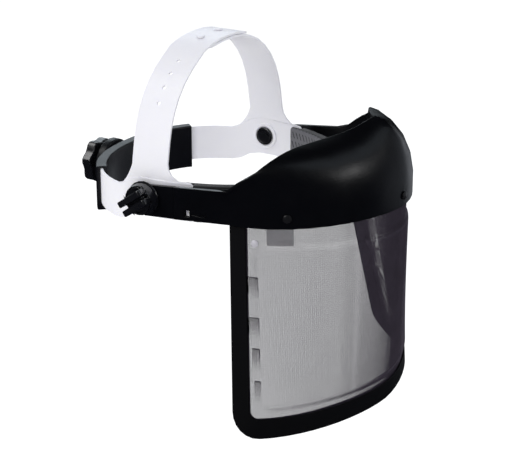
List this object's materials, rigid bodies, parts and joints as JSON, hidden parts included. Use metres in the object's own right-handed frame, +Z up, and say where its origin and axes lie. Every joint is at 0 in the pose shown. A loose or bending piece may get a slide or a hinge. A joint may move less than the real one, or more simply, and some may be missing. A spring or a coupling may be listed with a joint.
{
  "type": "mesh face mask",
  "caption": "Head harness with a tilting brow guard that carries a curved wire mesh window in front of the face, held by wing knobs at the temples.",
  "frame": {"origin": "midway between the two temple pivots, on the visor's tilt axis, in the middle of the wearer's head", "axes": "+X to the wearer's left, -Y out of the face, +Z up through the crown"},
  "size_m": [0.2262, 0.277, 0.2667],
  "materials": {
    "band_plastic": "smooth satin moulding",
    "sweatband_cloth": "perforated padded cloth",
    "soft_black_plastic": "soft satin moulding",
    "black_plastic": "satin moulding",
    "guard_plastic": "semi-gloss moulding",
    "wire_mesh": "fine wire gauze that reads dull grey",
    "edge_trim": "soft extruded trim",
    "painted_rivet": "blind rivet painted black",
    "bare_metal": "dull bare metal",
    "frosted_plastic": "frosted translucent sheet"
  },
  "bodies": {
    "headgear": {"headband": "band_plastic", "sweatband": "sweatband_cloth", "nape_channel": "soft_black_plastic", "ratchet_knob": "black_plastic", "pivot_stud_right": "black_plastic", "pivot_stud_left": "black_plastic"},
    "visor": {"brow_guard": "guard_plastic", "mesh_window": "wire_mesh", "window_border": "edge_trim", "rivet_right": "painted_rivet", "rivet_front": "painted_rivet", "rivet_left": "painted_rivet", "mesh_clip_right": "frosted_plastic", "mesh_clip_left": "frosted_plastic", "eyelet_right": "bare_metal", "eyelet_left": "bare_metal"},
    "wing_knob_right": {"wing_knob_right": "black_plastic"},
    "wing_knob_left": {"wing_knob_left": "black_plastic"}
  },
  "joints": [
    {"name": "visor_tilt", "type": "hinge", "parent": "headgear", "child": "visor", "pos_m": [0, 0, 0], "axis": [-1, 0, 0], "range_deg": [0, 90]},
    {"name": "wing_knob_right_turn", "type": "hinge", "parent": "headgear", "child": "wing_knob_right", "pos_m": [-0.1, 0, 0], "axis": [-1, 0, 0], "range_deg": [-180, 180]},
    {"name": "wing_knob_left_turn", "type": "hinge", "parent": "headgear", "child": "wing_knob_left", "pos_m": [0.1, 0, 0], "axis": [1, 0, 0], "range_deg": [-180, 180]}
  ]
}
